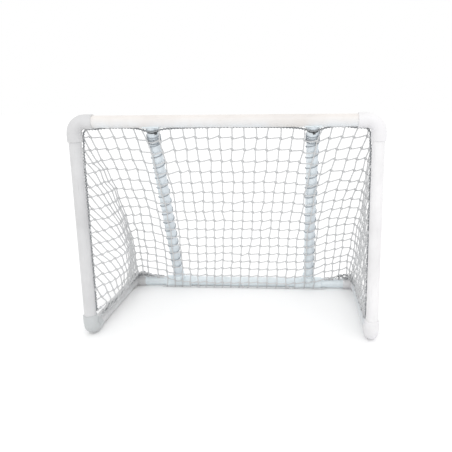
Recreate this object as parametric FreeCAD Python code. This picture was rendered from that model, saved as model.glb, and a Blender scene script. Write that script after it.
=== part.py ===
import FreeCAD, Part
import math
import os

# A free-standing goal: a frame of plastic pipe with a knotted net.
# Millimetres. X runs along the crossbar, Y from the mouth to the back, Z up.
# The origin is on the floor, under the middle of the frame.

os.makedirs("parts", exist_ok=True)
Vector = FreeCAD.Vector

# Overall size, measured over the pipes
overall_width = 1219.2
overall_height = 914.4
overall_depth = 609.6

# Pipe and fittings
pipe_od = 48.26
pipe_wall = 3.68
fitting_wall = 4.7
bend_step = 1.0
socket_clearance = 0.15
socket_depth = 35.0
end_gap = 0.3
mouth_chamfer = 1.5
top_bend_radius = 43.0
base_bend_radius = 29.5
tee_half_run = 69.0
tee_branch_reach = 69.0
foot_flat_depth = 0.5

# Supports and the saddles that hang them on the crossbar
support_foot_x = 341.0
left_support_top_x = -279.0
right_support_top_x = 341.0
saddle_wall = 3.0
saddle_width = 64.0
saddle_front_angle = 68.0
saddle_rear_angle = 108.0
saddle_screw_angle = 90.0
saddle_screw_spacing = 36.0
spigot_wall = 3.0
spigot_length = 75.0
tie_drop = 39.0
tie_width = 4.0
tie_thickness = 1.3
tie_head = 10.0
tie_head_height = 6.5
left_tie_turn = 38.0
right_tie_turn = 8.0

# Screws
screw_shank_radius = 2.0
screw_head_radius = 3.6
screw_head_top_radius = 2.5
screw_head_height = 1.6
screw_length = 9.0
hole_clearance = 0.15

# Net
twine = 3.6
cell_width = 48.0
cell_height = 55.8
smallest_gap_area = 90.0
seat_gap = 0.3

# Border ropes and their clips
rope_diameter = 6.0
rope_knot_radius = 5.2
mouth_rope_angle = 30.0
rear_rope_angle = 45.0
rope_shift_run = 32.0
rope_end_space = 14.0
detour_drop = 30.0
detour_run = 64.0
detour_front_half = 9.0
clip_wall = 2.0
clip_length = 12.0
clip_neck_inset = 1.0
clip_tab_turn = 44.0
clip_screw_turn = 30.0
clip_margin_turn = 1.0
crossbar_clip_places = (-455.0, -180.0, 30.0, 240.0, 455.0)
post_clip_heights = (170.0, 430.0, 690.0)
rail_clip_places = (-150.0, 110.0)
rear_clip_places = (-235.0, 0.0, 235.0)
outer_rear_clip_inset = 70.0

# Lacing round the supports
tight_turns = 4
tight_pitch = 10.0
lacing_pitch = 55.8
lacing_end_turn = 16.0
lacing_start_run = 16.0
lacing_end_run = 22.0

# Values that follow from the sizes above
pipe_radius = pipe_od / 2
bore_radius = pipe_radius - pipe_wall
socket_radius = pipe_radius + socket_clearance
fitting_radius = socket_radius + fitting_wall
bend_tube_radius = fitting_radius - bend_step
rope_radius = rope_diameter / 2
twine_radius = twine / 2
half_width = (overall_width - pipe_od) / 2
rear_y = (overall_depth - pipe_od) / 2
front_y = -rear_y
base_z = fitting_radius - foot_flat_depth
top_z = base_z + overall_height - pipe_od
rope_reach = pipe_radius + seat_gap + rope_radius
hub_rope_reach = fitting_radius + seat_gap + rope_radius
seat_radius = pipe_radius + seat_gap / 2
saddle_outer_radius = seat_radius + saddle_wall
lacing_radius = pipe_radius + seat_gap + twine_radius
rope_space = rope_radius + seat_gap
support_space = fitting_radius + seat_gap

RIGHT = Vector(1, 0, 0)
LEFT = Vector(-1, 0, 0)
BACK = Vector(0, 1, 0)
FRONT = Vector(0, -1, 0)
UP = Vector(0, 0, 1)
DOWN = Vector(0, 0, -1)

nodes = {}


# Basic shapes

def rod(start, end, radius):
    return Part.makeCylinder(radius, (end - start).Length, start, end - start)


def turned(vector, axis, degrees):
    return FreeCAD.Rotation(axis, degrees).multVec(vector)


def between(first, second, angle):
    """The direction that lies angle degrees from first towards second."""
    radians = math.radians(angle)
    return first * math.cos(radians) + second * math.sin(radians)


def hollow_pipe(start, end):
    return rod(start, end, pipe_radius).cut(rod(start, end, bore_radius))


def ring_sector(centre, axis, middle, inner, outer, length, angle_from, angle_to):
    """A curved plate round an axis, from one angle to another past the middle direction."""
    edge = turned(middle, axis, angle_from)
    side = axis * (length / 2)
    corners = [
        centre + edge * inner - side,
        centre + edge * outer - side,
        centre + edge * outer + side,
        centre + edge * inner + side,
    ]
    profile = Part.Face(Part.makePolygon(corners + corners[:1]))
    return profile.revolve(centre, axis, angle_to - angle_from)


def biggest_solid(shape):
    return max(shape.Solids, key=lambda solid: solid.Volume)


def circle_face(centre, normal, radius):
    return Part.Face(Part.Wire(Part.makeCircle(radius, centre, normal)))


# Fittings

def quarter_bend(corner, first, second, bend_radius, tube_radius):
    centre = corner + (first + second) * bend_radius
    disc = circle_face(corner + first * bend_radius, first, tube_radius)
    return disc.revolve(centre, second.cross(first), 90)


def socket_hub(start, way, grow):
    lip_start = start + way * (socket_depth - mouth_chamfer)
    straight = rod(start, lip_start, fitting_radius + grow)
    lip_end_radius = fitting_radius + grow - mouth_chamfer
    lip = Part.makeCone(fitting_radius + grow, lip_end_radius, mouth_chamfer, lip_start, way)
    return straight.fuse(lip)


def socket_bore(start, way):
    return rod(start, start + way * (socket_depth + end_gap), socket_radius)


def elbow_outside(corner, first, second, bend_radius, grow=0.0):
    bend = quarter_bend(corner, first, second, bend_radius, bend_tube_radius + grow)
    hubs = [socket_hub(corner + way * bend_radius, way, grow) for way in (first, second)]
    return bend.fuse(hubs)


def elbow(corner, first, second, bend_radius):
    waterway = quarter_bend(corner, first, second, bend_radius, bore_radius)
    bores = [socket_bore(corner + way * bend_radius, way) for way in (first, second)]
    return elbow_outside(corner, first, second, bend_radius).cut([waterway] + bores)


def tee_sockets(branch):
    reaches = ((LEFT, tee_half_run), (RIGHT, tee_half_run), (branch, tee_branch_reach))
    return [(way, reach - socket_depth) for way, reach in reaches]


def tee_outside(centre, branch, grow=0.0):
    shapes = []
    for way, start in tee_sockets(branch):
        shapes.append(rod(centre, centre + way * (start + 1), bend_tube_radius + grow))
        shapes.append(socket_hub(centre + way * start, way, grow))
    return shapes[0].fuse(shapes[1:])


def tee(centre, branch):
    cuts = []
    for way, start in tee_sockets(branch):
        cuts.append(rod(centre, centre + way * (start + 1), bore_radius))
        cuts.append(socket_bore(centre + way * start, way))
    return tee_outside(centre, branch).cut(cuts)


def flat_foot(fitting):
    size = overall_width * 2
    under_floor = Part.makeBox(size, size, size, Vector(-size / 2, -size / 2, -size))
    return fitting.cut(under_floor)


# Routes and tubes

def rounded_route(points):
    """Straight runs joined by arcs, each as large as 0.45 of its shorter run allows."""
    edges = []
    start = points[0]
    for before, corner, after in zip(points, points[1:], points[2:]):
        way_in = (corner - before).normalize()
        way_out = (after - corner).normalize()
        turn = way_in.getAngle(way_out)
        reach = 0.45 * min((corner - before).Length, (after - corner).Length)
        radius = reach / math.tan(turn / 2)
        arc_start = corner - way_in * reach
        arc_end = corner + way_out * reach
        inward = (way_out - way_in).normalize()
        middle = corner + inward * (radius / math.cos(turn / 2) - radius)
        edges.append(Part.LineSegment(start, arc_start).toShape())
        edges.append(Part.Arc(arc_start, middle, arc_end).toShape())
        start = arc_end
    edges.append(Part.LineSegment(start, points[-1]).toShape())
    return Part.Wire(edges)


def tube(wire, radius):
    first = wire.OrderedEdges[0]
    start = first.valueAt(first.FirstParameter)
    way = first.tangentAt(first.FirstParameter)
    profile = Part.Wire(Part.makeCircle(radius, start, way))
    shell = wire.makePipeShell([profile], True, False)
    return Part.Solid(shell) if shell.ShapeType == "Shell" else shell


def biarc(start, start_way, end, end_way):
    """Two arcs that join end to end, from one point and direction to another."""
    chord = end - start
    a = 2 * (start_way.dot(end_way) - 1)
    b = -2 * chord.dot(start_way + end_way)
    c = chord.dot(chord)
    reach = (-b - math.sqrt(b * b - 4 * a * c)) / (2 * a)
    first_corner = start + start_way * reach
    second_corner = end - end_way * reach
    joint = (first_corner + second_corner) * 0.5
    arcs = []
    for near, corner, far in ((start, first_corner, joint), (joint, second_corner, end)):
        half = (far - near) * 0.5
        rise = half.Length * math.tan(math.acos(min(1.0, half.Length / reach)) / 2)
        middle = near + half + (corner - near - half).normalize() * rise
        arcs.append(Part.Arc(near, middle, far).toShape())
    return arcs


# Screws and clips

def screw(seat, outward):
    head = Part.makeCone(
        screw_head_radius, screw_head_top_radius, screw_head_height, seat, outward
    )
    return head.fuse(rod(seat, seat - outward * screw_length, screw_shank_radius))


def screw_hole(seat, outward):
    reach = screw_length + clip_wall
    return rod(seat + outward, seat - outward * reach, screw_shank_radius + hole_clearance)


def clip(centre, axis, rope_way, reach, tab_turn):
    """A clip that holds a rope beside a pipe, with a tab that is screwed to the pipe."""
    half = axis * (clip_length / 2)
    rope_centre = centre + rope_way * reach
    ring_radius = rope_space + clip_wall
    spread = math.degrees(math.asin((ring_radius - clip_neck_inset) / reach))
    tab_outer = seat_radius + clip_wall
    tab_from = min(0, tab_turn * clip_tab_turn)
    tab_to = max(0, tab_turn * clip_tab_turn)
    ring = rod(rope_centre - half, rope_centre + half, ring_radius)
    neck = ring_sector(
        centre, axis, rope_way, pipe_radius, reach, clip_length, -spread, spread
    )
    tab = ring_sector(
        centre, axis, rope_way, pipe_radius, tab_outer, clip_length, tab_from, tab_to
    )
    body = ring.fuse([neck, tab])
    pipe_space = rod(centre - axis * clip_length, centre + axis * clip_length, seat_radius)
    rope_hole = rod(rope_centre - axis * clip_length, rope_centre + axis * clip_length, rope_space)
    screw_way = turned(rope_way, axis, tab_turn * clip_screw_turn)
    seat = centre + screw_way * tab_outer
    body = biggest_solid(body.cut([pipe_space, rope_hole, screw_hole(seat, screw_way)]))
    long_half = half + axis * seat_gap
    ring_envelope = rod(rope_centre - long_half, rope_centre + long_half, ring_radius + seat_gap)
    tab_envelope = ring_sector(
        centre, axis, rope_way, pipe_radius, tab_outer + seat_gap, 2 * long_half.Length,
        tab_from - clip_margin_turn, tab_to + clip_margin_turn,
    )
    neck_envelope = ring_sector(
        centre, axis, rope_way, pipe_radius, reach, 2 * long_half.Length,
        -spread - clip_margin_turn, spread + clip_margin_turn,
    )
    envelopes = [ring_envelope, tab_envelope, neck_envelope]
    return body, screw(seat, screw_way), screw_hole(seat, screw_way), envelopes


# Net panels

def net_panel(corners, grid_start, across, down, cutters):
    """A flat panel of square-cornered gaps inside an outline, with a border of one twine."""
    outline = Part.Face(Part.makePolygon(corners + corners[:1]))
    inside = outline.makeOffset2D(-twine, 2)
    columns = [(corner - grid_start).dot(across) / cell_width for corner in corners]
    rows = [(corner - grid_start).dot(down) / cell_height for corner in corners]
    gaps = []
    for column in range(math.floor(min(columns)), math.ceil(max(columns))):
        for row in range(math.floor(min(rows)), math.ceil(max(rows))):
            start = grid_start + across * (column * cell_width + twine_radius)
            start = start + down * (row * cell_height + twine_radius)
            wide = across * (cell_width - twine)
            high = down * (cell_height - twine)
            cell = [start, start + wide, start + wide + high, start + high, start]
            for gap in Part.Face(Part.makePolygon(cell)).common(inside).Faces:
                if gap.Area > smallest_gap_area:
                    gaps.append(gap)
    sheet = outline.cut(Part.makeCompound(gaps)).Faces[0]
    normal = across.cross(down)
    sheet.translate(normal * -twine_radius)
    panel = sheet.extrude(normal * twine)
    return biggest_solid(panel.cut(cutters)), len(gaps)


# The frame

corners = {
    "top_left": Vector(-half_width, front_y, top_z),
    "top_right": Vector(half_width, front_y, top_z),
    "bottom_left": Vector(-half_width, front_y, base_z),
    "bottom_right": Vector(half_width, front_y, base_z),
    "rear_left": Vector(-half_width, rear_y, base_z),
    "rear_right": Vector(half_width, rear_y, base_z),
}
elbow_ways = {
    "top_left": (RIGHT, DOWN, top_bend_radius),
    "top_right": (LEFT, DOWN, top_bend_radius),
    "bottom_left": (UP, BACK, base_bend_radius),
    "bottom_right": (UP, BACK, base_bend_radius),
    "rear_left": (FRONT, RIGHT, base_bend_radius),
    "rear_right": (FRONT, LEFT, base_bend_radius),
}

elbow_envelopes = []
for name, (first, second, bend_radius) in elbow_ways.items():
    fitting = elbow(corners[name], first, second, bend_radius)
    if not name.startswith("top"):
        fitting = flat_foot(fitting)
    nodes[name + "_elbow"] = [fitting]
    elbow_envelopes.append(elbow_outside(corners[name], first, second, bend_radius, seat_gap))

tee_centres = {
    "left": Vector(-support_foot_x, rear_y, base_z),
    "right": Vector(support_foot_x, rear_y, base_z),
}
support_tops = {
    "left": Vector(left_support_top_x, front_y, top_z),
    "right": Vector(right_support_top_x, front_y, top_z),
}
top_end = top_bend_radius + end_gap
base_end = base_bend_radius + end_gap
tee_end = tee_half_run - socket_depth + end_gap

pipe_ends = {
    "crossbar": (corners["top_left"] + RIGHT * top_end, corners["top_right"] + LEFT * top_end),
    "rear_rail_centre": (tee_centres["left"] + RIGHT * tee_end, tee_centres["right"] + LEFT * tee_end),
}
for side, inward in (("left", RIGHT), ("right", LEFT)):
    bottom = corners["bottom_" + side]
    rear = corners["rear_" + side]
    pipe_ends[side + "_post"] = (bottom + UP * base_end, corners["top_" + side] + DOWN * top_end)
    pipe_ends[side + "_base_rail"] = (bottom + BACK * base_end, rear + FRONT * base_end)
    pipe_ends["rear_rail_" + side] = (rear + inward * base_end, tee_centres[side] - inward * tee_end)
pipes = {name: hollow_pipe(start, end) for name, (start, end) in pipe_ends.items()}
pipe_spaces = [rod(start, end, seat_radius) for start, end in pipe_ends.values()]

# Supports, tees, saddles and ties

saddle_screws = []
ties = []
support_axes = {}
tee_envelopes = []
for side, tie_turn in (("left", left_tie_turn), ("right", right_tie_turn)):
    top = support_tops[side]
    foot = tee_centres[side]
    length = (foot - top).Length
    down_axis = (foot - top).normalize()
    side_axis = RIGHT - down_axis * RIGHT.dot(down_axis)
    side_axis.normalize()
    inner_way = down_axis.cross(side_axis)
    support_axes[side] = (top, down_axis, side_axis, inner_way, length)

    nodes["rear_" + side + "_tee"] = [flat_foot(tee(foot, down_axis * -1))]
    tee_envelopes.append(tee_outside(foot, down_axis * -1, seat_gap))

    middle = Vector(0, down_axis.y, down_axis.z).normalize()
    crossbar_space = rod(top + LEFT * saddle_width, top + RIGHT * saddle_width, seat_radius)
    plate = ring_sector(
        top, RIGHT, middle, seat_radius, saddle_outer_radius, saddle_width,
        -saddle_front_angle, saddle_rear_angle,
    )
    spigot_radius = bore_radius - socket_clearance
    spigot_end = top + down_axis * spigot_length
    spigot = rod(top, spigot_end, spigot_radius).cut(crossbar_space)
    saddle = plate.fuse(spigot).cut(rod(top, spigot_end, spigot_radius - spigot_wall))
    screw_way = turned(middle, RIGHT, saddle_screw_angle)
    for offset in (-saddle_screw_spacing / 2, saddle_screw_spacing / 2):
        seat = top + RIGHT * offset + screw_way * saddle_outer_radius
        saddle_screws.append(screw(seat, screw_way))
        saddle = saddle.cut(screw_hole(seat, screw_way))
        pipes["crossbar"] = pipes["crossbar"].cut(screw_hole(seat, screw_way))
    nodes[side + "_support_saddle"] = [biggest_solid(saddle)]

    support_end = foot - down_axis * (tee_branch_reach - socket_depth + end_gap)
    cope = rod(
        top + LEFT * saddle_width, top + RIGHT * saddle_width, saddle_outer_radius + end_gap
    )
    support = hollow_pipe(top, support_end).cut(cope)
    nodes[side + "_support"] = [biggest_solid(support)]

    band_start = top + down_axis * (tie_drop - tie_width / 2)
    band_end = top + down_axis * (tie_drop + tie_width / 2)
    band = rod(band_start, band_end, seat_radius + tie_thickness)
    head_way = turned(inner_way, down_axis, -tie_turn)
    head_side = head_way.cross(down_axis)
    head_low = top + down_axis * (tie_drop - tie_head / 2) + head_way * pipe_radius
    head_low = head_low - head_side * (tie_head / 2)
    rectangle = [
        head_low,
        head_low + head_side * tie_head,
        head_low + head_side * tie_head + down_axis * tie_head,
        head_low + down_axis * tie_head,
        head_low,
    ]
    head = Part.Face(Part.makePolygon(rectangle)).extrude(head_way * tie_head_height)
    support_space_rod = rod(top, top + down_axis * (2 * tie_drop), seat_radius)
    ties.append(band.fuse(head).cut(support_space_rod))

nodes["saddle_screws"] = saddle_screws
nodes["support_ties"] = ties

# Directions from a pipe's axis to the border rope beside it

mouth_ways = {
    "crossbar": between(DOWN, BACK, mouth_rope_angle),
    "left": between(RIGHT, BACK, mouth_rope_angle),
    "right": between(LEFT, BACK, mouth_rope_angle),
}
side_space = rope_radius + twine_radius + seat_gap
post_rope_inset = rope_reach * math.cos(math.radians(mouth_rope_angle))
side_net_inset = post_rope_inset - side_space
rail_rope_inset = side_net_inset - side_space
base_rope_angle = math.degrees(math.acos(rail_rope_inset / rope_reach))
base_ways = {
    "left": between(RIGHT, UP, base_rope_angle),
    "right": between(LEFT, UP, base_rope_angle),
    "rear": between(FRONT, UP, base_rope_angle),
}
rear_rope_way = between(FRONT, DOWN, rear_rope_angle)

# Mouth rope: up one post, along under the crossbar in front of the supports, down the other

rope_behind = rope_reach * math.sin(math.radians(mouth_rope_angle))
hub_rope_inset = math.sqrt(hub_rope_reach ** 2 - rope_behind ** 2)
top_hub_end = top_bend_radius + socket_depth
base_hub_end = base_bend_radius + socket_depth


def mouth_rope_half(side, inward):
    corner = corners["top_" + side] + BACK * rope_behind
    bottom = corners["bottom_" + side] + BACK * rope_behind
    shift_start = top_hub_end + rope_end_space / 2
    return [
        bottom + inward * post_rope_inset + UP * (base_hub_end + rope_end_space),
        corner + inward * post_rope_inset + DOWN * (shift_start + rope_shift_run),
        corner + inward * hub_rope_inset + DOWN * shift_start,
        corner + inward * hub_rope_inset + DOWN * hub_rope_inset,
        corner + inward * shift_start + DOWN * hub_rope_inset,
        corner + inward * (shift_start + rope_shift_run) + DOWN * post_rope_inset,
    ]


def support_detour(side):
    top, down_axis, side_axis, inner_way, length = support_axes[side]
    crossbar_point = top + mouth_ways["crossbar"] * rope_reach
    level = pipe_radius + seat_gap * 2 + rope_radius
    front = top + down_axis * detour_drop + inner_way * level
    front.x = top.x
    return [
        crossbar_point + LEFT * detour_run,
        front + LEFT * detour_front_half,
        front + RIGHT * detour_front_half,
        crossbar_point + RIGHT * detour_run,
    ]


mouth_points = mouth_rope_half("left", RIGHT)
mouth_points += support_detour("left") + support_detour("right")
mouth_points += list(reversed(mouth_rope_half("right", LEFT)))

# Base ropes: along each base rail and round the rear corner to the tee


def base_rope_points(side, inward):
    bottom = corners["bottom_" + side]
    rear = corners["rear_" + side]
    rise = math.sqrt(rope_reach ** 2 - rail_rope_inset ** 2)
    hub_scale = hub_rope_reach / rope_reach
    shift_start = base_hub_end + rope_end_space / 2
    low = UP * rise
    high = UP * (rise * hub_scale)
    rope_end = support_foot_x + tee_half_run + rope_end_space
    last = Vector(rear.x, rear.y, rear.z) + low + FRONT * rail_rope_inset
    last.x = -inward.x * rope_end
    return [
        bottom + inward * rail_rope_inset + BACK * (base_hub_end + rope_end_space) + low,
        rear + inward * rail_rope_inset + FRONT * (shift_start + rope_shift_run) + low,
        rear + inward * (rail_rope_inset * hub_scale) + FRONT * shift_start + high,
        rear + (inward + FRONT) * (rail_rope_inset * hub_scale) + high,
        rear + inward * shift_start + FRONT * (rail_rope_inset * hub_scale) + high,
        rear + inward * (shift_start + rope_shift_run) + FRONT * rail_rope_inset + low,
        last,
    ]


# Rear rope: along the lower front of the rear rail and its tees

rear_rope_end = support_foot_x + tee_half_run + rope_end_space
rear_rope_centre = Vector(0, rear_y, base_z) + rear_rope_way * hub_rope_reach
rear_points = [
    rear_rope_centre + LEFT * rear_rope_end,
    rear_rope_centre + RIGHT * rear_rope_end,
]

rope_envelopes = []


def add_rope(name, points):
    wire = rounded_route(points)
    rope = tube(wire, rope_radius)
    expected = math.pi * rope_radius ** 2 * wire.Length
    radii = [edge.Curve.Radius for edge in wire.Edges if hasattr(edge.Curve, "Radius")]
    least = min(radii) if radii else 0
    print(name, "length", round(wire.Length), "least radius", round(least, 1),
          "volume over section times length", round(rope.Volume / expected, 4))
    ends = (points[0], points[-1])
    knots = [Part.makeSphere(rope_knot_radius, end) for end in ends]
    nodes[name] = [rope.fuse(knots).cut(pipe_spaces)]
    rope_envelopes.append(tube(wire, rope_space))
    rope_envelopes.extend(Part.makeSphere(rope_knot_radius + seat_gap, end) for end in ends)


add_rope("mouth_rope", mouth_points)
add_rope("left_base_rope", base_rope_points("left", RIGHT))
add_rope("right_base_rope", base_rope_points("right", LEFT))
add_rope("rear_rope", rear_points)

# Clips along the ropes

clips = []
clip_screws = []
clip_envelopes = []


def add_clip(pipe_name, centre, axis, rope_way, reach, tab_turn):
    body, fastener, hole, envelopes = clip(centre, axis, rope_way, reach, tab_turn)
    clips.append(body)
    clip_screws.append(fastener)
    clip_envelopes.extend(envelopes)
    pipes[pipe_name] = pipes[pipe_name].cut(hole)


for place in crossbar_clip_places:
    centre = Vector(place, front_y, top_z)
    add_clip("crossbar", centre, RIGHT, mouth_ways["crossbar"], rope_reach, 1)
for side, sign in (("left", -1), ("right", 1)):
    tab_turn = -sign
    for height in post_clip_heights:
        centre = Vector(sign * half_width, front_y, base_z + height)
        add_clip(side + "_post", centre, UP, mouth_ways[side], rope_reach, tab_turn)
    for place in rail_clip_places:
        centre = Vector(sign * half_width, place, base_z)
        add_clip(side + "_base_rail", centre, BACK, base_ways[side], rope_reach, sign)
    centre = Vector(sign * (half_width - base_hub_end - outer_rear_clip_inset), rear_y, base_z)
    add_clip("rear_rail_" + side, centre, RIGHT, base_ways["rear"], rope_reach, -1)
for place in rear_clip_places:
    centre = Vector(place, rear_y, base_z)
    add_clip("rear_rail_centre", centre, RIGHT, rear_rope_way, hub_rope_reach, 1)

nodes["net_clips"] = clips
nodes["net_clip_screws"] = clip_screws
for name, shape in pipes.items():
    nodes[name] = [shape]

# Net panels. The back panels hang from the mouth rope to the ropes on the rear rail.

cutters = elbow_envelopes + tee_envelopes + rope_envelopes + clip_envelopes
net_top = Vector(0, front_y, top_z) + mouth_ways["crossbar"] * rope_reach
outer_foot = Vector(0, rear_y, base_z) + base_ways["rear"] * rope_reach
side_panel_x = half_width - side_net_inset
edge_x = side_panel_x - twine_radius - seat_gap


def support_x(side, height):
    top = support_tops[side]
    foot = tee_centres[side]
    share = (top.z - height) / (top.z - foot.z)
    return top.x + (foot.x - top.x) * share


def back_panel(foot, edges):
    """A back panel from the crossbar to a foot line, between two side edges."""
    down = (foot - net_top).normalize()
    high = net_top + down * rope_space
    low = foot - down * rope_space
    outline = []
    for edge, level in ((0, high), (1, high), (1, low), (0, low)):
        outline.append(Vector(edges[edge](level.z), level.y, level.z))
    grid_start = Vector(0, high.y, high.z) + down * twine_radius
    return net_panel(outline, grid_start, RIGHT, down, cutters)


def left_of(side):
    return lambda height: support_x(side, height) - support_space


def right_of(side):
    return lambda height: support_x(side, height) + support_space


def side_panel(sign):
    """A side panel in the triangle between a post, a base rail and the back net."""
    down = (outer_foot - net_top).normalize()
    across = Vector(0, down.z, -down.y)
    outer = pipe_radius + seat_gap
    clear = math.sqrt(outer ** 2 - (side_net_inset - twine_radius) ** 2)
    near_y = front_y + clear
    near_z = base_z + clear
    behind = across * -twine_radius
    first = net_top + behind
    top_share = (near_y - first.y) / down.y
    low_share = (near_z - first.z) / down.z
    outline = [
        first + down * top_share,
        Vector(0, near_y, near_z),
        first + down * low_share,
    ]
    place = RIGHT * (sign * side_panel_x)
    outline = [corner + place for corner in outline]
    grid_start = net_top + down * (rope_space + twine_radius) + place
    return net_panel(outline, grid_start, across, down, cutters)


panels = {
    "left_back_net": back_panel(outer_foot, (lambda height: -edge_x, left_of("left"))),
    "centre_back_net": back_panel(rear_rope_centre, (right_of("left"), left_of("right"))),
    "right_back_net": back_panel(outer_foot, (right_of("right"), lambda height: edge_x)),
    "left_side_net": side_panel(-1),
    "right_side_net": side_panel(1),
}
for name, (panel, gap_count) in panels.items():
    nodes[name] = [panel]
    print(name, "gaps", gap_count)


# Lacing: one twine wound round each support, tight at the top and then once for each net row

def lacing(side):
    top, down_axis, side_axis, inner_way, length = support_axes[side]

    def place(turns, drop):
        angle = 2 * math.pi * turns
        round_way = side_axis * math.cos(angle) - inner_way * math.sin(angle)
        return top + down_axis * drop + round_way * lacing_radius

    def way(turns, pitch):
        angle = 2 * math.pi * turns
        round_way = side_axis * -math.sin(angle) - inner_way * math.cos(angle)
        return (round_way * (2 * math.pi * lacing_radius) + down_axis * pitch).normalize()

    start_drop = tie_drop + tie_width / 2 + seat_gap
    end_drop = length - tee_branch_reach - seat_gap
    first_drop = start_drop + twine + lacing_start_run
    last_drop = end_drop - twine - lacing_end_run
    long_turns = round((last_drop - first_drop - tight_turns * tight_pitch) / lacing_pitch)
    long_pitch = (last_drop - first_drop - tight_turns * tight_pitch) / long_turns
    turns = lacing_end_turn / 360
    drop = first_drop
    stations = [(turns, drop, tight_pitch)]
    for quarter in range(4 * (tight_turns + long_turns)):
        pitch = tight_pitch if quarter < 4 * tight_turns else long_pitch
        next_pitch = tight_pitch if quarter + 1 < 4 * tight_turns else long_pitch
        turns += 0.25
        drop += pitch / 4
        stations.append((turns, drop, (pitch + next_pitch) / 2))

    edges = []
    start = place(0, start_drop)
    near = place(0, start_drop + twine)
    near_way = down_axis
    edges.append(Part.LineSegment(start, near).toShape())
    for turns, drop, pitch in stations:
        far = place(turns, drop)
        edges += biarc(near, near_way, far, way(turns, pitch))
        near = far
        near_way = way(turns, pitch)
    last_turns = stations[-1][0] + lacing_end_turn / 360
    far = place(last_turns, end_drop - twine)
    edges += biarc(near, near_way, far, down_axis)
    edges.append(Part.LineSegment(far, place(last_turns, end_drop)).toShape())
    wire = Part.Wire(edges)

    samples = wire.discretize(Distance=twine)
    half_turn = round(math.pi * lacing_radius / twine)
    least_gap = least_seat = overall_height
    for index, point in enumerate(samples):
        from_axis = (point - top) - down_axis * (point - top).dot(down_axis)
        least_seat = min(least_seat, from_axis.Length - twine_radius - pipe_radius)
        for other in samples[index + half_turn:index + 3 * half_turn]:
            least_gap = min(least_gap, (other - point).Length - twine)
    print(side, "lacing turns", tight_turns + long_turns, "length", round(wire.Length),
          "least gap to itself", round(least_gap, 2), "least gap to the pipe", round(least_seat, 2))
    return tube(wire, twine_radius)


for side in ("left", "right"):
    nodes[side + "_lacing"] = [lacing(side)]

for name, solids in nodes.items():
    shape = solids[0] if len(solids) == 1 else Part.makeCompound(solids)
    for solid in shape.Solids:
        if not solid.isValid() or solid.Volume <= 0:
            print("not a sound solid:", name)
    shape.exportStep("parts/" + name + ".step")
print("nodes", len(nodes))
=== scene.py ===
import math
from itertools import groupby

import bpy
import numpy as np
from mathutils import Matrix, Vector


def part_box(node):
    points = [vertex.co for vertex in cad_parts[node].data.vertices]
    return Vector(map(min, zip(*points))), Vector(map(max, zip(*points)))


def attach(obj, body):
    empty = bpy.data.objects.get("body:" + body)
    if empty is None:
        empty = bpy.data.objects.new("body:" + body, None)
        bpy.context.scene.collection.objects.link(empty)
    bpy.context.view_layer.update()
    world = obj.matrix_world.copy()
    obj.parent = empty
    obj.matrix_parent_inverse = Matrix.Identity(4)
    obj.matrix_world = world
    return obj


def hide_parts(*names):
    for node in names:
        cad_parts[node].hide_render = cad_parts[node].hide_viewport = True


# A free-standing goal of plastic pipe with a knotted net.
# Metres. X runs along the crossbar, Y from the mouth to the back, Z up.

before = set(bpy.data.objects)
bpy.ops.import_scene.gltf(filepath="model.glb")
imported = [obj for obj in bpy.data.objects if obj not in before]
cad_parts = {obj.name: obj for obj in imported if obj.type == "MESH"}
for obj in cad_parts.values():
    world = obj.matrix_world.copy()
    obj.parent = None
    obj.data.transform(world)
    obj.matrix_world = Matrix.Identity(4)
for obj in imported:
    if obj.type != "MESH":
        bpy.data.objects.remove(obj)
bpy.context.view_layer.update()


# Sizes and places on the frame

def box_centre(node):
    low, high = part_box(node)
    return (np.array(low) + np.array(high)) / 2


def box_size(node):
    low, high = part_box(node)
    return np.array(high) - np.array(low)


pipe_radius = box_size("left_post")[0] / 2
front_y = box_centre("right_post")[1]
rear_y = box_centre("rear_rail_centre")[1]
base_z = box_centre("rear_rail_centre")[2]
top_z = box_centre("crossbar")[2]

# Supports: each runs from the crossbar's axis down to the rear rail's axis
left_support_top_x = -0.279
support_foot_x = 0.341
support_ends = {
    "left": ((left_support_top_x, front_y, top_z), (-support_foot_x, rear_y, base_z)),
    "right": ((support_foot_x, front_y, top_z), (support_foot_x, rear_y, base_z)),
}

# Twine and rope
twine_radius = 0.0027
lacing_radius = 0.0018
thin_twine_radius = 0.0011
rope_radius = 0.003
seat_gap = 0.0003
floor_gap = 0.0002

# How finely lines are drawn, and how many sides their tubes have
line_step = 0.003
twine_sides = 6
rope_sides = 8
thin_twine_sides = 5

# Border ropes
mouth_route = [
    (-0.5617, -0.2670, 0.1070),
    (-0.5617, -0.2670, 0.7776),
    (-0.5562, -0.2670, 0.8096),
    (-0.5562, -0.2670, 0.8654),
    (-0.5005, -0.2670, 0.8654),
    (-0.4685, -0.2670, 0.8709),
    (-0.3430, -0.2670, 0.8709),
    (-0.2880, -0.2877, 0.8544),
    (-0.2700, -0.2877, 0.8544),
    (-0.2150, -0.2670, 0.8709),
    (0.2770, -0.2670, 0.8709),
    (0.3320, -0.2876, 0.8544),
    (0.3500, -0.2876, 0.8544),
    (0.4050, -0.2670, 0.8709),
    (0.4685, -0.2670, 0.8709),
    (0.5005, -0.2670, 0.8654),
    (0.5562, -0.2670, 0.8654),
    (0.5562, -0.2670, 0.8096),
    (0.5617, -0.2670, 0.7776),
    (0.5617, -0.2670, 0.1070),
]
left_base_route = [
    (-0.5719, -0.2022, 0.0523),
    (-0.5719, 0.1772, 0.0523),
    (-0.5695, 0.2092, 0.0565),
    (-0.5695, 0.2647, 0.0565),
    (-0.5140, 0.2647, 0.0565),
    (-0.4820, 0.2671, 0.0523),
    (-0.4240, 0.2671, 0.0523),
]
right_base_route = [(-x, y, z) for x, y, z in left_base_route]
rear_route = [
    (-0.4240, 0.2578, 0.0057),
    (0.0, 0.2578, 0.0057),
    (0.4240, 0.2578, 0.0057),
]

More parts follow.
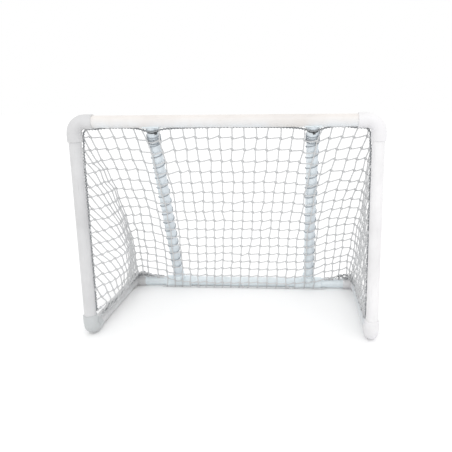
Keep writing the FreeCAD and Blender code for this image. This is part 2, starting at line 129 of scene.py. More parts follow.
# Where the ropes run along the crossbar, the rear rail and the floor, the posts and the base rails
crossbar_rope = np.array([0, *mouth_route[6][1:]])
rail_rope = np.array([0, *left_base_route[-1][1:]])
floor_rope = np.array([0, *rear_route[1][1:]])
post_rope_x, post_rope_y, post_rope_foot = mouth_route[-1]
base_rope_x, base_rope_front, base_rope_z = right_base_route[0]
rear_rope_end = rear_route[-1][0]

# Net: columns hang from the crossbar, and rows run from post to post through the sides and the back
net_rows = 18
back_cells = 23
first_height = 0.050
cell_height = 0.0577
first_column_x = -0.545
middle_column_x = 0.126
last_column_x = 0.5575
column_tops = np.linspace(first_column_x, last_column_x, back_cells + 1)
back_length = np.linalg.norm(floor_rope - crossbar_rope)

# How far a column's foot stands left of its top, and how far its middle bows to the right
drift_at = (first_column_x, -0.449, -0.353, -0.2095, -0.018, middle_column_x, last_column_x)
drift_by = (-0.017, -0.056, -0.050, -0.0705, -0.092, -0.099, -0.092)
bow_at = (first_column_x, middle_column_x, last_column_x)
bow_by = (0.044, 0.002, -0.042)

# Columns are tied to the rope on the floor, and near the corners to the higher rope on the rail. The rows
# pass from the one rope's plane to the other's between two distances from the middle.
last_floor_tie = rear_rope_end - 0.0095
first_rail_tie = rear_rope_end + 0.002
corner_tie_x = -0.562
blend_start = 0.28
blend_end = 0.53

# Side nets: the left one hangs slack into the goal, and the right one folds round the rear corner
side_cell_width = {"left": 0.029, "right": 0.034}
corner_cells = {"left": 0, "right": 2}
corner_cell_width = 0.043
least_cell = 0.014
side_row_drop = 0.05
gather = {"left": 0.25, "right": 0.0}
left_fold_place = 0.60
left_fold_depth = 0.062
right_fold_x = 0.553
right_fold_back = 0.004
fold_steps = 12

# Net strings: how they cross, sag and lift over the supports
unevenness = 0.002
column_steps = 6
row_steps = 7
row_sag = 0.0015
sag_range = (0.4, 1.5)
knot_reach = 1.25 * twine_radius
knot_lean = -0.0045
knot_points = 13
knot_half_turns = 3
lift_run = 0.075
hitch_half_length = 0.0035
hitch_step = 0.0003
hitch_turns = 2.5

# Slack netting, gathered along the base rails and more of it in the rear corners
gathered_radius = 0.0018
gathered_step = 0.004
gathered_strands = {"left": 4, "right": 1}
gathered_ways = {"left": (0.35, -0.2, 0.9), "right": (-0.1, -0.2, 0.9)}
gathered_reach = 0.010
corner_start_y = 0.12
corner_start_x = 0.49
corner_strands = 5
corner_reach = 0.017
long_waves = (0.035, 0.080)
short_waves = (0.014, 0.024)
long_wave_share = 0.65
end_fullness = 0.4

random = np.random.default_rng(seed=4)


# Lines in space

def unit(vector):
    return vector / np.linalg.norm(vector)


def distances_along(points):
    return np.concatenate([[0], np.cumsum(np.linalg.norm(np.diff(points, axis=0), axis=1))])


def path_length(path):
    return np.linalg.norm(np.diff(path, axis=0), axis=1).sum()


def evenly(points, step):
    """The same line with its points about one step apart."""
    places = distances_along(points)
    wanted = np.linspace(0, places[-1], max(round(places[-1] / step), 2) + 1)
    return np.stack([np.interp(wanted, places, points[:, axis]) for axis in range(3)], axis=1)


def route_line(route):
    """The smooth line that a rope's route describes."""
    curve = bpy.data.curves.new("route", "CURVE")
    curve.dimensions = "3D"
    spline = curve.splines.new("NURBS")
    spline.points.add(len(route) - 1)
    for control, place in zip(spline.points, route):
        control.co = (*place, 1)
    spline.order_u = 3
    spline.use_endpoint_u = True
    spline.resolution_u = 16
    holder = bpy.data.objects.new("route", curve)
    line = bpy.data.meshes.new_from_object(holder)
    points = np.array([vertex.co for vertex in line.vertices])
    bpy.data.objects.remove(holder)
    bpy.data.curves.remove(curve)
    bpy.data.meshes.remove(line)
    return evenly(points, line_step)


def smooth_line(points, steps):
    """A smooth line through the points."""
    ends = [2 * points[0] - points[1], *points, 2 * points[-1] - points[-2]]
    line = []
    for before, start, end, after in zip(ends, ends[1:], ends[2:], ends[3:]):
        for t in np.arange(steps) / steps:
            line.append(0.5 * (2 * start + (end - before) * t
                               + (2 * before - 5 * start + 4 * end - after) * t ** 2
                               + (3 * start - before - 3 * end + after) * t ** 3))
    return np.array([*line, points[-1]])


def cross_ways(path):
    """Two directions across the path at each of its points, without twist."""
    ways = np.gradient(path, axis=0)
    ways /= np.linalg.norm(ways, axis=1)[:, None]
    least = np.zeros(3)
    least[np.argmin(np.abs(ways[0]))] = 1
    side = unit(np.cross(ways[0], least))
    sides = []
    for way in ways:
        side = unit(side - way * (side @ way))
        sides.append(side)
    sides = np.array(sides)
    return sides, np.cross(ways, sides)


def helix(path, turns, radius, start=0.0):
    """A line that winds round the path."""
    sides, others = cross_ways(path)
    angles = 2 * math.pi * (start + np.linspace(0, turns, len(path)))
    return path + radius * (np.cos(angles)[:, None] * sides + np.sin(angles)[:, None] * others)


# Tubes

class Strings:
    """Tubes that are gathered into one piece. Their UVs run along and round each tube."""

    def __init__(self):
        self.corners = []
        self.faces = []
        self.places = []
        self.twines = []

    def add(self, path, radius, sides, twine=0):
        rings = len(path)
        across, up = cross_ways(path)
        angles = 2 * math.pi * np.arange(sides) / sides
        ways = across[:, None] * np.cos(angles)[:, None] + up[:, None] * np.sin(angles)[:, None]
        corners = (path[:, None] + radius * ways).reshape(-1, 3)
        corners[:, 2] = np.maximum(corners[:, 2], floor_gap)
        first = len(self.corners)
        self.corners.extend(corners.tolist())
        along = distances_along(path)
        for ring in range(rings - 1):
            here = first + ring * sides
            near, far = along[ring], along[ring + 1]
            for side in range(sides):
                after = (side + 1) % sides
                low, high = side / sides, (side + 1) / sides
                self.faces.append((here + side, here + after, here + sides + after, here + sides + side))
                self.places.extend((near, low, near, high, far, high, far, low))
        self.add_end([first + side for side in reversed(range(sides))])
        self.add_end([first + (rings - 1) * sides + side for side in range(sides)])
        self.twines.extend([twine] * (len(self.faces) - len(self.twines)))

    def add_end(self, ring):
        self.faces.append(ring)
        self.places.extend((0.0, 0.0) * len(ring))

    def build(self, name, materials, node, slot):
        mesh = bpy.data.meshes.new(name)
        mesh.from_pydata(self.corners, [], self.faces)
        mesh.uv_layers.new(name="UVMap").data.foreach_set("uv", self.places)
        mesh.shade_smooth()
        for material in materials:
            mesh.materials.append(material)
        mesh.polygons.foreach_set("material_index", self.twines)
        piece = bpy.data.objects.new(name, mesh)
        bpy.context.scene.collection.objects.link(piece)
        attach(piece, "root")
        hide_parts(node)


# Material nodes

def linear(red, green, blue):
    """A colour given in display values from 0 to 255."""
    return tuple(((value / 255 + 0.055) / 1.055) ** 2.4 for value in (red, green, blue))


def scaled(colour, factor):
    return tuple(min(value * factor, 1) for value in colour)


def new_material(name, roughness, specular):
    material = bpy.data.materials.new(name)
    material.use_nodes = True
    tree = material.node_tree
    shader = tree.nodes["Principled BSDF"]
    shader.inputs["Roughness"].default_value = roughness
    shader.inputs["Specular IOR Level"].default_value = specular
    return material, tree, shader


def object_places(tree, stretch=(1, 1, 1)):
    source = tree.nodes.new("ShaderNodeTexCoord")
    mapping = tree.nodes.new("ShaderNodeMapping")
    mapping.inputs["Scale"].default_value = stretch
    tree.links.new(source.outputs["Object"], mapping.inputs["Vector"])
    return mapping.outputs["Vector"]


def part_of(tree, vector, way):
    """The X, Y or Z of a vector."""
    split = tree.nodes.new("ShaderNodeSeparateXYZ")
    tree.links.new(vector, split.inputs["Vector"])
    return split.outputs[way]


def facing(tree, way):
    """How far the surface faces along X, Y or Z, from -1 to 1."""
    return part_of(tree, tree.nodes.new("ShaderNodeNewGeometry").outputs["Normal"], way)


def noise(tree, places, scale, detail=3, roughness=0.5):
    node = tree.nodes.new("ShaderNodeTexNoise")
    node.inputs["Scale"].default_value = scale
    node.inputs["Detail"].default_value = detail
    node.inputs["Roughness"].default_value = roughness
    tree.links.new(places, node.inputs["Vector"])
    return node.outputs["Fac"]


def level(tree, value, low, high, start=0.0, end=1.0):
    """The value mapped from low..high to start..end, and kept within it."""
    node = tree.nodes.new("ShaderNodeMapRange")
    node.inputs["From Min"].default_value = low
    node.inputs["From Max"].default_value = high
    node.inputs["To Min"].default_value = start
    node.inputs["To Max"].default_value = end
    tree.links.new(value, node.inputs["Value"])
    return node.outputs["Result"]


def spots(tree, places, scale, faint, full, detail=3, roughness=0.5):
    """Spots that begin where the noise is faint, and are solid where it is full."""
    return level(tree, noise(tree, places, scale, detail, roughness), faint, full)


def calculated(tree, operation, first, second=None):
    node = tree.nodes.new("ShaderNodeMath")
    node.operation = operation
    for socket, value in zip(node.inputs, (first, second)):
        if isinstance(value, (int, float)):
            socket.default_value = value
        elif value is not None:
            tree.links.new(value, socket)
    return node.outputs["Value"]


def mixed(tree, share, first, second):
    """Two colours mixed; each may be a socket or a plain colour."""
    share_socket, first_socket, second_socket, result_socket = 0, 6, 7, 2
    node = tree.nodes.new("ShaderNodeMix")
    node.data_type = "RGBA"
    tree.links.new(share, node.inputs[share_socket])
    for socket, value in ((first_socket, first), (second_socket, second)):
        if isinstance(value, tuple):
            node.inputs[socket].default_value = (*value, 1)
        else:
            tree.links.new(value, node.inputs[socket])
    return node.outputs[result_socket]


def stained(tree, colour, stain, where, strength=1.0):
    """The colour, with a stain on it where the value is high."""
    return mixed(tree, calculated(tree, "MULTIPLY", where, strength), colour, stain)


def soiled(tree, colour, places, height, scale, faint, strength):
    """Grey soil in spots, from the floor up to a height."""
    soil = linear(150, 148, 142)
    low = level(tree, part_of(tree, places, "Z"), 0.0, height, start=1.0, end=0.0)
    dirt = spots(tree, places, scale, faint=faint, full=0.75, detail=6)
    return stained(tree, colour, soil, calculated(tree, "MULTIPLY", low, dirt), strength)


def painted_light_and_shade(tree, top_colour, under_colour, way):
    """Painted light and shade: one colour where the surface faces along X, Y or Z, and another where it
    faces against it.
    """
    side = level(tree, facing(tree, way), low=-0.7, high=0.7)
    return mixed(tree, side, under_colour, top_colour)


def set_colour(tree, shader, colour):
    tree.links.new(colour, shader.inputs["Base Color"])


def set_roughness(tree, shader, pattern, least, most):
    uneven = level(tree, pattern, low=0.3, high=0.7, start=least, end=most)
    tree.links.new(uneven, shader.inputs["Roughness"])


def bump(tree, shader, height, distance):
    node = tree.nodes.new("ShaderNodeBump")
    node.inputs["Distance"].default_value = distance
    tree.links.new(height, node.inputs["Height"])
    tree.links.new(node.outputs["Normal"], shader.inputs["Normal"])


# Materials

def plastic(name, top_colour, under_colour, axis, shade_way="Z"):
    """White plastic pipe: worn to a satin, scuffed along its length and greyer near the floor, with light
    and shade painted in two colours by the way the surface faces.
    """
    roughness = 0.34
    material, tree, shader = new_material(name, roughness, specular=0.5)
    places = object_places(tree)
    stretch = [1.0, 1.0, 1.0]
    stretch[axis] = 0.04
    lengthwise = object_places(tree, stretch)
    # Painted light and shade: one colour on the side that faces the shade way, the other on the side facing
    # away
    colour = painted_light_and_shade(tree, top_colour, under_colour, shade_way)
    patches = spots(tree, places, scale=9, faint=0.40, full=0.72, detail=4)
    colour = stained(tree, colour, scaled(top_colour, 0.90), patches)
    scuffs = spots(tree, lengthwise, scale=420, faint=0.62, full=0.76, detail=2)
    colour = stained(tree, colour, scaled(under_colour, 0.72), scuffs, strength=0.5)
    specks = spots(tree, places, scale=240, faint=0.66, full=0.76, detail=5, roughness=0.7)
    colour = stained(tree, colour, scaled(under_colour, 0.55), specks, strength=0.55)
    set_colour(tree, shader, soiled(tree, colour, places, height=0.10, scale=60, faint=0.35, strength=0.12))
    satin = noise(tree, lengthwise, scale=90)
    set_roughness(tree, shader, satin, least=roughness - 0.07, most=roughness + 0.12)
    fine = calculated(tree, "MULTIPLY", noise(tree, lengthwise, scale=700, detail=2), 0.35)
    bump(tree, shader, calculated(tree, "SUBTRACT", fine, scuffs), distance=0.00008)
    return material


def moulded(name, top_colour, under_colour, roughness=0.42):
    """Moulded fitting: the same plastic with a fine orange-peel surface, and the same light and shade
    painted in two colours by the way the surface faces.
    """
    material, tree, shader = new_material(name, roughness, specular=0.45)
    places = object_places(tree)
    # Painted light and shade: the top colour above and the under colour below
    colour = painted_light_and_shade(tree, top_colour, under_colour, "Z")
    patches = spots(tree, places, scale=18, faint=0.40, full=0.75, detail=4)
    colour = stained(tree, colour, scaled(top_colour, 0.92), patches)
    specks = spots(tree, places, scale=300, faint=0.66, full=0.78, detail=4, roughness=0.7)
    colour = stained(tree, colour, scaled(under_colour, 0.6), specks, strength=0.5)
    set_colour(tree, shader, soiled(tree, colour, places, height=0.07, scale=80, faint=0.3, strength=0.2))
    grain = noise(tree, places, scale=520)
    set_roughness(tree, shader, grain, least=roughness - 0.05, most=roughness + 0.08)
    bump(tree, shader, grain, distance=0.00012)
    return material


def laid_twine(name, colour, pitch, strands):
    """Twisted twine: strands wind round it, with painted shade in the grooves between them, and stray
    fibres.
    """
    material, tree, shader = new_material(name, roughness=0.85, specular=0.2)
    shader.inputs["Sheen Weight"].default_value = 0.25
    shader.inputs["Sheen Roughness"].default_value = 0.5
    places = object_places(tree)
    tube_places = tree.nodes.new("ShaderNodeUVMap").outputs["UV"]
    along = calculated(tree, "MULTIPLY", part_of(tree, tube_places, "X"), 2 * math.pi / pitch)
    round_it = calculated(tree, "MULTIPLY", part_of(tree, tube_places, "Y"), 2 * math.pi * strands)
    wave = calculated(tree, "SINE", calculated(tree, "ADD", along, round_it))
    ridge = level(tree, wave, low=-1, high=0.4)
    fibres = noise(tree, places, scale=1500, roughness=0.7)
    soil = spots(tree, places, scale=35, faint=0.35, full=0.7, detail=4)
    # Painted shade in the grooves between the strands
    shade = mixed(tree, ridge, scaled(colour, 0.74), colour)
    shade = stained(tree, shade, scaled(colour, 0.82), soil, strength=0.5)
    shade = mixed(tree, level(tree, fibres, low=0.35, high=0.7), scaled(colour, 0.9), shade)
    set_colour(tree, shader, shade)
    fuzz = calculated(tree, "MULTIPLY", fibres, 0.4)
    bump(tree, shader, calculated(tree, "ADD", ridge, fuzz), distance=0.0004)
    return material


def zinc(name):
    """Zinc-plated screw: dull, with fine scratches."""
    material, tree, shader = new_material(name, roughness=0.4, specular=0.5)
    shader.inputs["Metallic"].default_value = 1.0
    patches = noise(tree, object_places(tree), scale=400, detail=4)
    dull = level(tree, patches, low=0.35, high=0.7)
    set_colour(tree, shader, mixed(tree, dull, linear(178, 180, 184), linear(140, 141, 143)))
    set_roughness(tree, shader, patches, least=0.3, most=0.5)
    scratches = noise(tree, object_places(tree, (1, 1, 0.1)), scale=1500, detail=2)
    bump(tree, shader, scratches, distance=0.00004)
    return material


def dark_plastic(name):
    """Grey plastic tie: grained and slightly dusty."""
    material, tree, shader = new_material(name, roughness=0.55, specular=0.4)
    places = object_places(tree)
    dust = spots(tree, places, scale=300, faint=0.4, full=0.75, detail=4)
    set_colour(tree, shader, mixed(tree, dust, linear(48, 51, 53), linear(92, 95, 96)))
    dusty = level(tree, dust, low=0, high=1, start=0.45, end=0.7)
    tree.links.new(dusty, shader.inputs["Roughness"])
    bump(tree, shader, noise(tree, places, scale=900), distance=0.0001)
    return material


# Materials of the pipes, fittings and small parts. The pipes and fittings are all one white plastic, and
# their tints per part are painted light and shade.

axis_x, axis_y, axis_z = range(3)
# Painted light and shade on one white plastic: a warm white for the crossbar's lit top and a cool white for
# its underside and the right base rail in shade; greys for the left post, left base rail and left fittings
# in shade, and the clips' shaded underside; pale blue casts of shade on the rear rail, supports and rear
# fittings; rose whites for the right post and right fittings in light
pale_grey = linear(218, 218, 219)
shaded_mid_grey = linear(203, 206, 207)
warm_lit_white = linear(240, 235, 231)
cool_shaded_white = linear(234, 237, 240)
ice_white = linear(240, 248, 252)
ice_shade = linear(240, 249, 253)
cold_shade = linear(229, 237, 243)
rose_white = linear(243, 242, 243)
rose_shade = linear(236, 235, 238)

shaded_rear_rail_plastic = plastic("pipe_rear_rail", ice_white, ice_shade, axis_x)
# The supports have painted light on the side facing -X and painted shade on the side facing +X
side_shaded_support_plastic = plastic("pipe_support", cold_shade, ice_white, axis_z, shade_way="X")
shaded_left_fitting_plastic = moulded("fitting_left", pale_grey, pale_grey)
lit_and_shaded_right_fitting_plastic = moulded("fitting_right", rose_white, rose_shade)
shaded_rear_fitting_plastic = moulded("fitting_rear", ice_white, ice_shade)

materials_by_part = {
    "left_post": plastic("pipe_left_post", pale_grey, pale_grey, axis_z),
    "right_post": plastic("pipe_right_post", rose_white, rose_white, axis_z),
    "crossbar": plastic("pipe_crossbar", warm_lit_white, cool_shaded_white, axis_x),
    "rear_rail_left": shaded_rear_rail_plastic,
    "rear_rail_centre": shaded_rear_rail_plastic,
    "rear_rail_right": shaded_rear_rail_plastic,
    "left_support": side_shaded_support_plastic,
    "right_support": side_shaded_support_plastic,
    "left_base_rail": plastic("pipe_left_base_rail", pale_grey, pale_grey, axis_y),
    "right_base_rail": plastic("pipe_right_base_rail", cool_shaded_white, cool_shaded_white, axis_y),
    "top_left_elbow": shaded_left_fitting_plastic,
    "bottom_left_elbow": moulded("fitting_left_foot", shaded_mid_grey, shaded_mid_grey),
    "rear_left_elbow": shaded_left_fitting_plastic,
    "top_right_elbow": lit_and_shaded_right_fitting_plastic,
    "bottom_right_elbow": lit_and_shaded_right_fitting_plastic,
    "rear_right_elbow": lit_and_shaded_right_fitting_plastic,
    "rear_left_tee": shaded_rear_fitting_plastic,
    "rear_right_tee": shaded_rear_fitting_plastic,
    "left_support_saddle": shaded_rear_fitting_plastic,
    "right_support_saddle": shaded_rear_fitting_plastic,
    "net_clips": moulded("clip_plastic", pale_grey, shaded_mid_grey, roughness=0.5),
    "net_clip_screws": zinc("clip_screw_zinc"),
    "saddle_screws": zinc("saddle_screw_zinc"),
    "support_ties": dark_plastic("tie_plastic"),
}
for node, chosen_material in materials_by_part.items():
    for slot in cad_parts[node].material_slots:
        slot.material = chosen_material

# The net twine is near white. The slack and lacing twines are greyer to paint the shade among the gathered
# netting and round the supports. The mouth rope's grey is partly the rope's own colour and partly painted
# shade under the crossbar. The base ropes are near white as painted light against the shade where they lie
# by the rails and the floor.
net_twine = laid_twine("net_twine", linear(227, 228, 229), pitch=0.011, strands=3)
slack_twine = laid_twine("slack_twine", linear(192, 194, 196), pitch=0.011, strands=3)
lacing_twine = laid_twine("lacing_twine", linear(182, 188, 194), pitch=0.011, strands=3)
rope_twine = laid_twine("rope_twine", linear(166, 169, 172), pitch=0.006, strands=2)
base_rope_twine = laid_twine("base_rope_twine", linear(250, 252, 253), pitch=0.006, strands=2)


# Border ropes: three strands, a thin twine that lashes the net on, and a knot at each end

rope_strands = 3
strand_radius = 0.0015
strand_reach = 0.0015
strand_pitch = 0.022
lashing_pitch = 0.012
lashing_step = 0.001
lashing_reach = rope_radius + 0.7 * thin_twine_radius
end_knot_size = 0.0016
end_knot_depth = 1.4
end_knot_points = 49
end_knot_strand_radius = 1.3 * strand_radius


def end_knot(centre, way):
    """An overhand knot, drawn tight round the rope's end."""
    askew = (0.3, 0.2, 0.9)
    side = unit(np.cross(way, askew))
    other = np.cross(way, side)
    loop = []
    for t in np.linspace(0, 2 * math.pi, end_knot_points):
        across = math.sin(t) + 2 * math.sin(2 * t)
        upright = math.cos(t) - 2 * math.cos(2 * t)
        along = -end_knot_depth * math.sin(3 * t)
        loop.append(centre + end_knot_size * (side * across + other * upright + way * along))
    return np.array(loop)


def make_rope(node, route, material):
    line = route_line(route)
    length = path_length(line)
    strings = Strings()
    for strand in range(rope_strands):
        path = helix(line, length / strand_pitch, strand_reach, strand / rope_strands)
        strings.add(path, strand_radius, rope_sides)
    lashing = helix(evenly(line, lashing_step), length / lashing_pitch, lashing_reach)
    strings.add(lashing, thin_twine_radius, thin_twine_sides)
    for end, before in ((line[0], line[2]), (line[-1], line[-3])):
        strings.add(end_knot(end, unit(end - before)), end_knot_strand_radius, rope_sides)
    strings.build(node + "_strands", [material], node, "rope")
    return line


rope_lines = {
    "mouth": make_rope("mouth_rope", mouth_route, rope_twine),
    "left": make_rope("left_base_rope", left_base_route, base_rope_twine),
    "right": make_rope("right_base_rope", right_base_route, base_rope_twine),
    "rear": make_rope("rear_rope", rear_route, base_rope_twine),
}
rope_points = np.concatenate(list(rope_lines.values()))
rope_ways = np.concatenate([np.gradient(line, axis=0) for line in rope_lines.values()])


def on_rope(point):
    """The nearest point of a border rope, and the rope's direction there."""
    nearest = np.argmin(np.linalg.norm(rope_points - point, axis=1))
    return rope_points[nearest], unit(rope_ways[nearest])


# Lacing: one twine wound round each support, tight at the top and then once for each net row

lacing_diameter = 2 * lacing_radius

# Its start below the tie, and its end above the tee, along the support from the crossbar and the rear rail
tie_place = 0.041 + seat_gap
tee_end = 0.069 + seat_gap
lacing_end_turn = 16 / 360
lacing_start_run = 0.016 + lacing_diameter
lacing_end_run = 0.022 + lacing_diameter
tight_turns = 4
tight_pitch = 0.010
long_turns = 15
front_lift = 0.009
points_per_turn = 40


def support_ways(side):
    """A support's top, the ways down it, across it and into the goal, and its length."""
    top, foot = (np.array(end) for end in support_ends[side])
    down = unit(foot - top)
    inner = unit(np.array([0, down[2], -down[1]]))
    return top, down, np.cross(inner, down), inner, np.linalg.norm(foot - top)


def make_lacing(side):
    top, down, across, inner, length = support_ways(side)
    radius = pipe_radius + seat_gap + lacing_radius
    first = tie_place + lacing_start_run
    tight_end = first + tight_turns * tight_pitch
    end = length - tee_end
    turn_marks = np.cumsum([0, lacing_end_turn, tight_turns, long_turns, lacing_end_turn])
    drop_marks = (tie_place, first, tight_end, end - lacing_end_run, end)
    turns = np.linspace(0, turn_marks[-1], round(turn_marks[-1] * points_per_turn))
    drops = np.interp(turns, turn_marks, drop_marks)[:, None]
    angles = 2 * math.pi * turns[:, None]
    lift = np.clip(np.sin(angles), 0, 1) * front_lift * (drops > tight_end)
    path = top + down * (drops - lift) + radius * (across * np.cos(angles) + inner * np.sin(angles))
    strings = Strings()
    strings.add(path, lacing_radius, rope_sides)
    strings.build(side + "_lacing_twine", [lacing_twine], side + "_lacing", "lacing")


make_lacing("left")
make_lacing("right")


# Net layout: where the rows and columns cross

class Net:
    def __init__(self):
        self.points = {}
        self.ties = {}
        self.columns = []
        self.rows = []
        self.ups = {}

    def cross(self, key, point):
        self.points[key] = point + random.normal(0, unevenness, 3)

    def tie(self, key, point):
        self.points[key], self.ties[key] = on_rope(point)


def row_share(row):
    """How far down the back net a row lies, from 0 at the crossbar to 1 at the floor."""
    if row in (0, net_rows):
        return row // net_rows
    return (first_height + cell_height * (row - 1)) / back_length


def column_foot(top_x):
    """Where a column of the back net is tied at its foot."""
    foot_x = top_x + np.interp(top_x, drift_at, drift_by)
    if abs(foot_x) < last_floor_tie:
        return floor_rope + (foot_x, 0, 0)
    if top_x == first_column_x:
        return rail_rope + (corner_tie_x, 0, 0)
    return rail_rope + (math.copysign(max(abs(foot_x), first_rail_tie), foot_x), 0, 0)


def lay_back(net):
    for column, top_x in enumerate(column_tops):
        top = crossbar_rope + (top_x, 0, 0)
        tied_foot = column_foot(top_x)
        rail_part = np.clip((abs(tied_foot[0]) - blend_start) / (blend_end - blend_start), 0, 1)
        foot = floor_rope + (rail_rope - floor_rope) * rail_part + (tied_foot[0], 0, 0)
        bow = np.interp(top_x, bow_at, bow_by)
        keys = [("back", column, row) for row in range(net_rows + 1)]
        net.tie(keys[0], top)
        for key in keys[1:-1]:
            share = row_share(key[2])
            net.cross(key, top + (foot - top) * share + (bow * math.sin(math.pi * share), 0, 0))
        net.tie(keys[-1], tied_foot)
        net.columns.append(keys)


def side_row_end(row, start, sign):
    """Where a row of a side net is tied: to the post, or low down to the front of the base rail."""
    if row >= net_rows - 1:
        return np.array([sign * base_rope_x, base_rope_front, base_rope_z])
    height = start[2] - side_row_drop * (start[1] - post_rope_y)
    return np.array([sign * post_rope_x, post_rope_y, max(height, post_rope_foot)])


def left_fold(start, end, share):
    """Where a row of the left net turns, in front of the straight line and inside it."""
    point = start + (end - start) * left_fold_place
    point[0] += left_fold_depth * math.sin(math.pi * share ** 2)
    return point


def right_fold(start, end, share):
    """Where a row of the right net turns, beside the rear corner."""
    return np.array([max(start[0], right_fold_x), start[1] + right_fold_back, start[2]])


def side_lines(net, side, sign, crease, fold):
    """The line of each row of a side net, from the back net to its tie, and its length."""
    lines = {}
    for row in range(1, net_rows + 1):
        start = net.points[("back", crease, row)]
        end = side_row_end(row, start, sign)
        turn = fold(start, end, row_share(row))
        line = evenly(smooth_line([start, turn, end], fold_steps), line_step)
        lines[row] = (line, path_length(line))
        if row < net_rows:
            net.tie((side, "end", row), end)
    return lines


def lay_side_columns(net, side, sign, lines):
    """The columns of a side net, from the post down to the base rail, and how many there are."""
    lengths = [length for line, length in lines.values()]
    heights = [line[-1][2] for line, length in lines.values()]
    wide_reach = corner_cells[side] * corner_cell_width
    narrow_reach = max(lengths) - least_cell - wide_reach
    columns = corner_cells[side] + int(narrow_reach / side_cell_width[side])
    for column in range(1, columns + 1):
        wide_cells = min(column, corner_cells[side])
        reach = wide_cells * corner_cell_width + (column - wide_cells) * side_cell_width[side]
        keys = [(side, column, "post")]
        net.tie(keys[0], (sign * post_rope_x, post_rope_y, np.interp(reach, lengths, heights)))
        for row, (line, length) in lines.items():
            if reach > length - least_cell:
                continue
            share = (reach / length) ** (1 + gather[side] * row_share(row))
            place = net.tie if row == net_rows else net.cross
            place((side, column, row), line[round(share * (len(line) - 1))])
            keys.append((side, column, row))
        net.columns.append(keys)
    return columns


def lay_side(net, side, sign, crease, fold):
    """A side net, which goes on from the back net. Each of its rows starts at its tie."""
    lines = side_lines(net, side, sign, crease, fold)
    columns = lay_side_columns(net, side, sign, lines)
    rows = {}
    for row in range(1, net_rows):
        across = [(side, column, row) for column in range(columns, 0, -1)]
        rows[row] = [(side, "end", row)] + [key for key in across if key in net.points]
    return rows


def lay_net():
    net = Net()
    lay_back(net)
    left = lay_side(net, "left", sign=-1, crease=0, fold=left_fold)
    right = lay_side(net, "right", sign=1, crease=back_cells, fold=right_fold)
    for row in range(1, net_rows):
        back = [("back", column, row) for column in range(back_cells + 1)]
        net.rows.append(left[row] + back + right[row][::-1])
    return net


# Net strings

def over_supports(path):
    """The path, lifted where it would run through a support or its lacing."""
    rest = pipe_radius + lacing_diameter + twine_radius
    path = path.copy()
    for side in support_ends:
        top, down, across, inner, length = support_ways(side)
        offset = path - top
        drop = offset @ down
        away = np.abs(offset @ across)
        height = offset @ inner
        near = (away < lift_run) & (drop > 0) & (drop < length) & (height < rest)

        # The string leaves its line at a distance from the support, and runs straight to touch it
        far_height = height[near]
        distance = np.hypot(lift_run, far_height)
        turn = np.arctan2(far_height, lift_run) + np.arccos(rest / distance)
        touch, touch_height = rest * np.cos(turn), rest * np.sin(turn)
        share = np.clip((away[near] - touch) / (lift_run - touch), 0, 1)
        straight = touch_height + (far_height - touch_height) * share
        round_it = np.sqrt(np.maximum(rest ** 2 - away[near] ** 2, 0))
        lifted = np.where(away[near] < touch, round_it, straight)
        path[near] += (np.maximum(lifted, far_height) - far_height)[:, None] * inner
    return path


def panel_of(near, far, points):
    """The panel that a stretch of string belongs to."""
    for key in (near, far):
        if key[0] != "back":
            return key[0] + "_side_net"
    middle = (points[near] + points[far]) / 2
    for side, name in (("left", "left_back_net"), ("right", "centre_back_net")):
        top, down, across = support_ways(side)[:3]
        if (middle - top) @ across < 0:
            return name
    return "right_back_net"


def runs_by_panel(keys, points):
    stretches = list(zip(keys, keys[1:]))
    for panel, run in groupby(stretches, lambda pair: panel_of(*pair, points)):
        run = list(run)
        yield panel, [run[0][0]] + [far for near, far in run]


def knot_wrap(point, along, up):
    """A turn and a half of a row's twine round a column, drawn tight."""
    along = unit(along - up * (along @ up))
    out = np.cross(up, along)
    wrap = []
    for share in np.linspace(0, 1, knot_points):
        angle = math.pi * (1 + knot_half_turns * share)
        round_it = along * math.cos(angle) + out * math.sin(angle)
        wrap.append(point + knot_reach * round_it + up * knot_lean * (2 * share - 1))
    return wrap


def column_path(keys, net):
    return smooth_line([net.points[key] for key in keys], column_steps)


def row_path(keys, net):
    """A row's twine: it wraps each column that it crosses, and sags a little between them."""
    points = net.points
    wraps = []
    for index, key in enumerate(keys):
        if key in net.ties:
            wraps.append([points[key]])
            continue
        along = points[keys[min(index + 1, len(keys) - 1)]] - points[keys[max(index - 1, 0)]]
        wrap = knot_wrap(points[key], along, net.ups[key])
        wraps.append(wrap[-1:] if index == 0 else wrap)
    line = list(wraps[0])
    for before, after in zip(wraps, wraps[1:]):
        start, end = before[-1], after[0]
        sag = row_sag * random.uniform(*sag_range)
        for share in np.arange(1, row_steps) / row_steps:
            line.append(start + (end - start) * share - np.array([0, 0, 4 * sag * share * (1 - share)]))
        line.extend(after)
    return np.array(line)


def hitch(point, way):
    """Turns of twine that tie a string's end to a border rope."""
    ends = np.array([point - way * hitch_half_length, point + way * hitch_half_length])
    radius = rope_radius + thin_twine_radius
    return helix(evenly(ends, hitch_step), hitch_turns, radius, start=random.uniform(0, 1))


def gathered(line, out, strands, reach):
    """Slack netting gathered along a line: wavy strings that cross each other beside it."""
    line = evenly(line, gathered_step)
    places = np.linspace(0, path_length(line), len(line))
    fullness = np.sin(np.pi * np.linspace(0, 1, len(line))) ** end_fullness
    bunch = []
    for strand in range(strands):
        path = line + out * reach
        for way in cross_ways(line):
            length, phase = random.uniform(*long_waves), random.uniform(0, 2 * math.pi)
            long_wave = np.sin(2 * math.pi * places / length + phase)
            short_wave = np.sin(2 * math.pi * places / random.uniform(*short_waves) + phase * 2)
            wave = long_wave_share * long_wave + (1 - long_wave_share) * short_wave
            path = path + way * (reach * fullness * wave)[:, None]
        bunch.append(path)
    return bunch


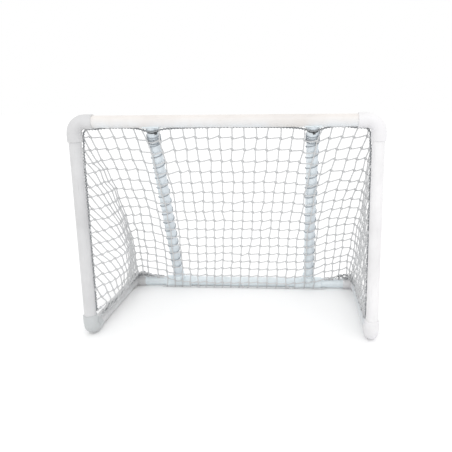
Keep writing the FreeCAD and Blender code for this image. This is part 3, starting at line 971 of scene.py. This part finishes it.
def gather_side(strings, side):
    """The slack netting of one side: along its base rail, and more of it in the rear corner."""
    line = rope_lines[side]
    corner = line[(line[:, 1] > corner_start_y) & (np.abs(line[:, 0]) > corner_start_x)]
    out = unit(np.array(gathered_ways[side]))
    bunches = gathered(line, out, gathered_strands[side], gathered_reach)
    bunches += gathered(corner, out, corner_strands, corner_reach)
    for path in bunches:
        strings.add(path, gathered_radius, thin_twine_sides, twine=1)


def find_ups(net):
    """The direction up each column, where the rows cross it."""
    for keys in net.columns:
        for above, key, below in zip(keys[:1] + keys, keys, keys[1:] + keys[-1:]):
            net.ups[key] = unit(net.points[above] - net.points[below])


def make_net():
    net = lay_net()
    find_ups(net)
    panels = {}
    for lines, path_of in ((net.columns, column_path), (net.rows, row_path)):
        for keys in lines:
            for panel, run in runs_by_panel(keys, net.points):
                strings = panels.setdefault(panel, Strings())
                strings.add(over_supports(path_of(run, net)), twine_radius, twine_sides)
                for key in run:
                    if key in net.ties:
                        knot = hitch(net.points[key], net.ties[key])
                        strings.add(knot, thin_twine_radius, thin_twine_sides)
    for side in support_ends:
        gather_side(panels[side + "_side_net"], side)
    for panel, strings in panels.items():
        strings.build(panel + "_twine", [net_twine, slack_twine], panel, "net")


make_net()


# Stage

floor_half_size = 30.0
floor_glow = 0.08
sky_light = 0.95
sun_strength = 0.5
sun_spread = 50
sun_turn = 12
sun_tilt = 52


def shown_rays(tree):
    """1 for what is seen, also in gloss and through glass, and 0 for what lights the goal."""
    rays = tree.nodes.new("ShaderNodeLightPath")
    shown = calculated(tree, "MAXIMUM", rays.outputs["Is Camera Ray"], rays.outputs["Is Glossy Ray"])
    return calculated(tree, "MAXIMUM", shown, rays.outputs["Is Transmission Ray"])


def make_floor():
    half = floor_half_size
    corners = [(-half, -half, 0), (half, -half, 0), (half, half, 0), (-half, half, 0)]
    mesh = bpy.data.meshes.new("floor")
    mesh.from_pydata(corners, [], [(0, 1, 2, 3)])
    floor = bpy.data.objects.new("floor", mesh)
    bpy.context.scene.collection.objects.link(floor)
    material, tree, shader = new_material("floor_white", roughness=0.9, specular=0.0)
    shown = shown_rays(tree)
    set_colour(tree, shader, mixed(tree, shown, linear(247, 247, 247), (1.0, 1.0, 1.0)))
    shader.inputs["Emission Color"].default_value = (1, 1, 1, 1)
    tree.links.new(calculated(tree, "MULTIPLY", shown, floor_glow), shader.inputs["Emission Strength"])
    mesh.materials.append(material)


def make_sky():
    world = bpy.data.worlds.new("studio")
    world.use_nodes = True
    bpy.context.scene.world = world
    tree = world.node_tree
    background = tree.nodes["Background"]
    background.inputs["Color"].default_value = (1, 1, 1, 1)
    strength = level(tree, shown_rays(tree), low=0, high=1, start=sky_light, end=1)
    tree.links.new(strength, background.inputs["Strength"])


def turned(degrees, axis):
    return Matrix.Rotation(math.radians(degrees), 4, axis)


def make_lamp():
    lamp = bpy.data.lights.new("key", "SUN")
    lamp.energy = sun_strength
    lamp.angle = math.radians(sun_spread)
    holder = bpy.data.objects.new("key", lamp)
    holder.matrix_world = turned(sun_turn, "Z") @ turned(sun_tilt, "X")
    bpy.context.scene.collection.objects.link(holder)


def make_camera():
    image_size = 452
    focal_pixels = 480.229
    middle_column, middle_row = 264.049, 196.396
    place = (0.27937, -2.10976, 0.97469)
    turn, dip, roll = 3.9505, 11.4686, -0.5846
    data = bpy.data.cameras.new("camera")
    data.sensor_width = 36
    data.lens = focal_pixels * data.sensor_width / image_size
    data.shift_x = -(middle_column - image_size / 2) / image_size
    data.shift_y = (middle_row - image_size / 2) / image_size
    camera = bpy.data.objects.new("camera", data)
    aim = turned(turn, "Z") @ turned(90 - dip, "X") @ turned(roll, "Z")
    camera.matrix_world = Matrix.Translation(place) @ aim
    bpy.context.scene.collection.objects.link(camera)
    bpy.context.scene.camera = camera


make_floor()
make_sky()
make_lamp()
make_camera()
bpy.context.scene.view_settings.view_transform = "Standard"
